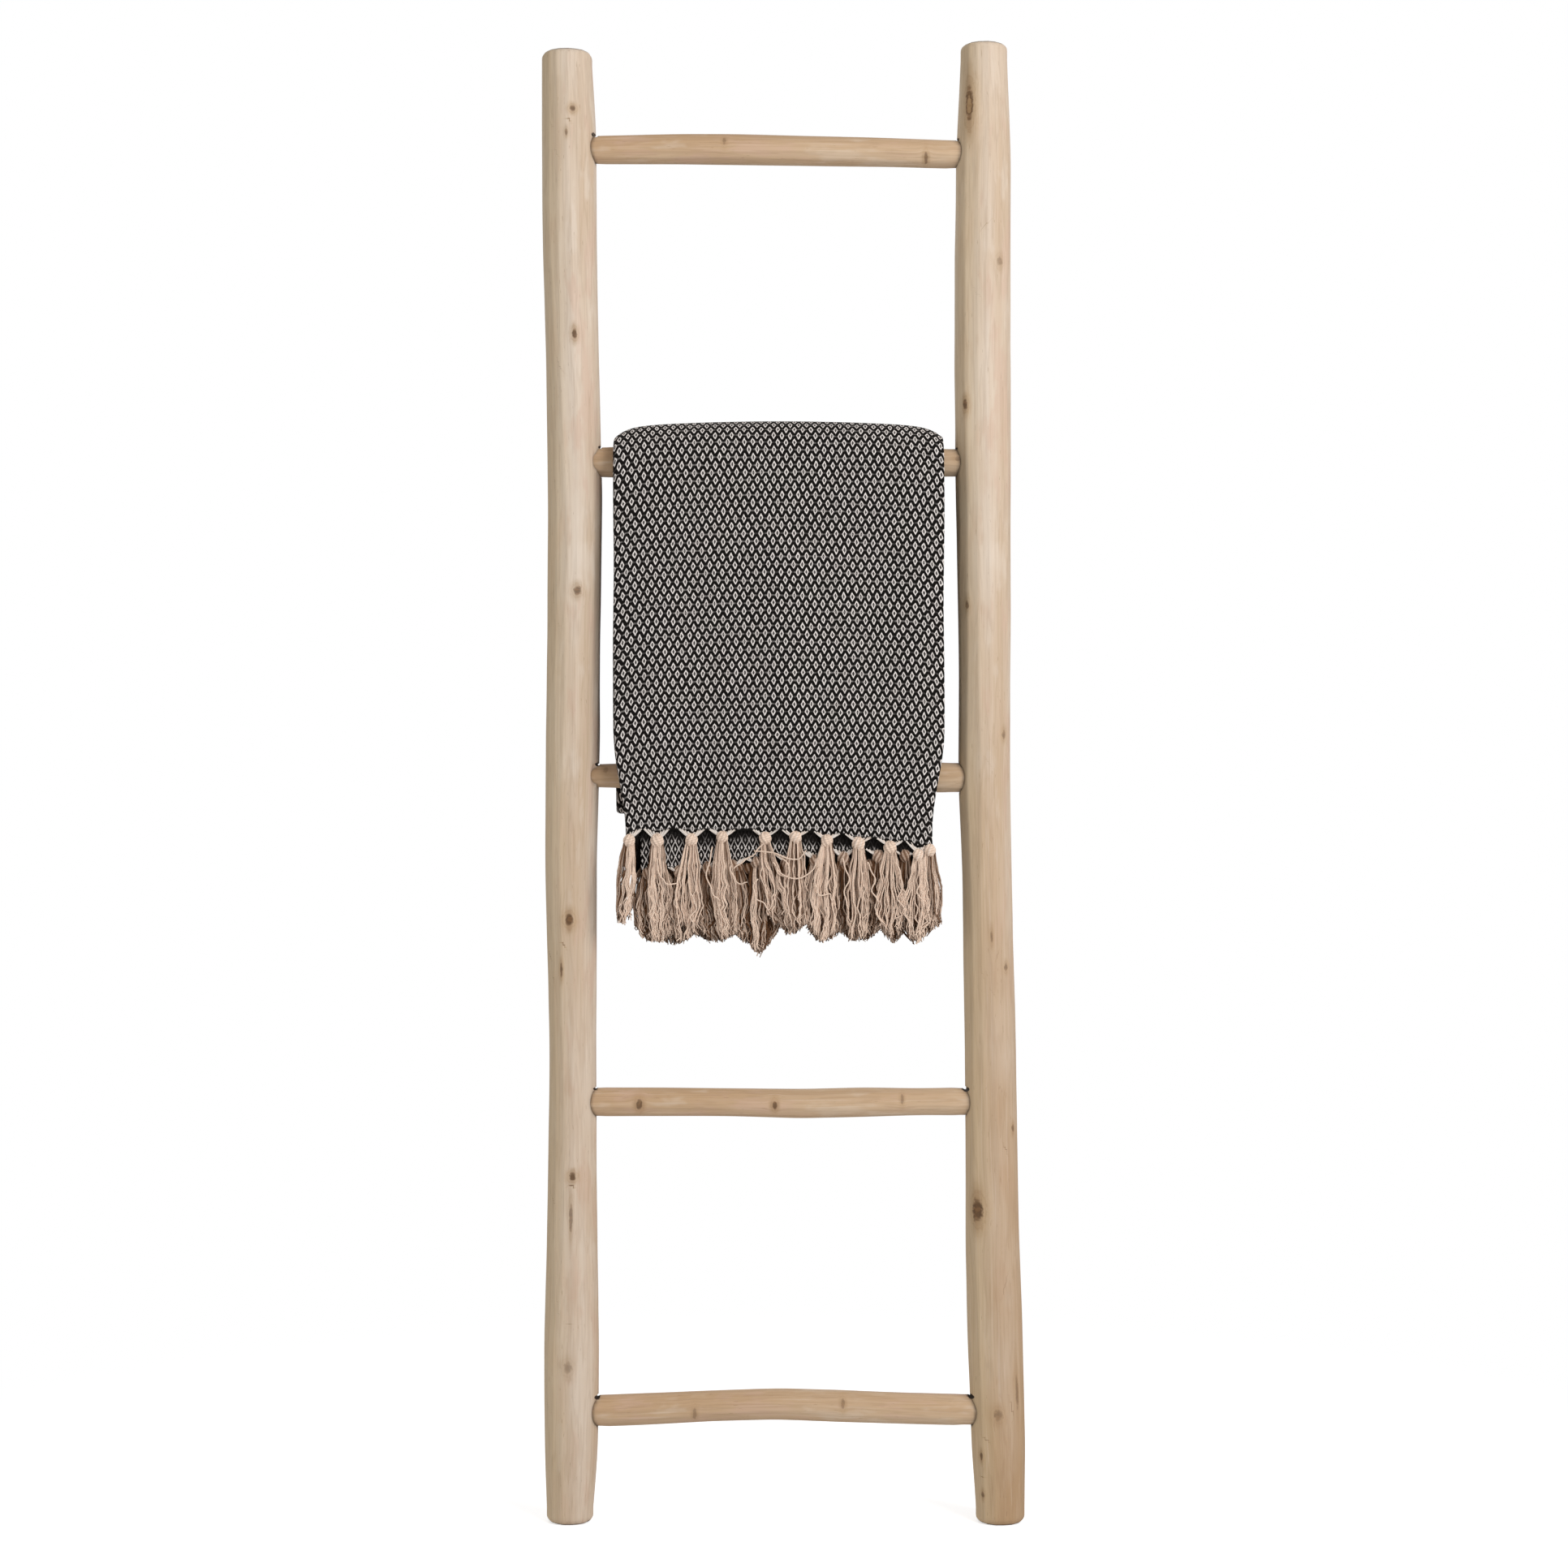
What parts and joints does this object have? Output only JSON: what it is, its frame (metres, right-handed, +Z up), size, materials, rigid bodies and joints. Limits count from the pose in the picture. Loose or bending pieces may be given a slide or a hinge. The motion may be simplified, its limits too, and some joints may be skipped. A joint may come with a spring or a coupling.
{
  "type": "blanket ladder",
  "caption": "Free-standing blanket ladder of round teak poles with tenoned rungs, and a tasselled cotton throw folded over the second rung.",
  "frame": {"origin": "on the floor, midway between the two rails and in the plane of the ladder", "axes": "+X along the rungs to the right as seen from the front, +Y away from the viewer towards the wall, +Z up along the rails"},
  "size_m": [0.4911, 0.0813, 1.5],
  "materials": {
    "rail_wood": "unfinished pale teak, hand-shaved and sanded",
    "rung_wood": "unfinished teak branch, lightly sanded",
    "pin_wood": "riven hardwood, cut nearly flush",
    "throw_cloth": "black and off-white cotton in a diamond weave",
    "fringe_yarn": "twisted undyed cotton yarn"
  },
  "bodies": {
    "ladder": {"left_rail": "rail_wood", "right_rail": "rail_wood", "rung_1": "rung_wood", "rung_2": "rung_wood", "rung_3": "rung_wood", "rung_4": "rung_wood", "rung_5": "rung_wood", "left_pin_1": "pin_wood", "left_pin_2": "pin_wood", "left_pin_3": "pin_wood", "left_pin_4": "pin_wood", "left_pin_5": "pin_wood", "right_pin_1": "pin_wood", "right_pin_2": "pin_wood", "right_pin_3": "pin_wood", "right_pin_4": "pin_wood", "right_pin_5": "pin_wood"},
    "throw": {"throw": "throw_cloth", "front_tassel_1": "fringe_yarn", "front_tassel_2": "fringe_yarn", "front_tassel_3": "fringe_yarn", "front_tassel_4": "fringe_yarn", "front_tassel_5": "fringe_yarn", "front_tassel_6": "fringe_yarn", "front_tassel_7": "fringe_yarn", "front_tassel_8": "fringe_yarn", "front_tassel_9": "fringe_yarn", "front_tassel_10": "fringe_yarn", "front_tassel_11": "fringe_yarn", "second_tassel_1": "fringe_yarn", "second_tassel_2": "fringe_yarn", "second_tassel_3": "fringe_yarn", "second_tassel_4": "fringe_yarn", "second_tassel_5": "fringe_yarn", "second_tassel_6": "fringe_yarn", "second_tassel_7": "fringe_yarn", "second_tassel_8": "fringe_yarn", "second_tassel_9": "fringe_yarn", "second_tassel_10": "fringe_yarn", "fringe_row_3": "fringe_yarn", "fringe_row_4": "fringe_yarn", "fringe_row_5": "fringe_yarn", "fringe_row_6": "fringe_yarn", "fringe_row_7": "fringe_yarn", "fringe_row_8": "fringe_yarn"}
  },
  "joints": [
    {"name": "throw_slide", "type": "slide", "parent": "ladder", "child": "throw", "axis": [1, 0, 0], "range_m": [-0.012, 0.011]}
  ]
}
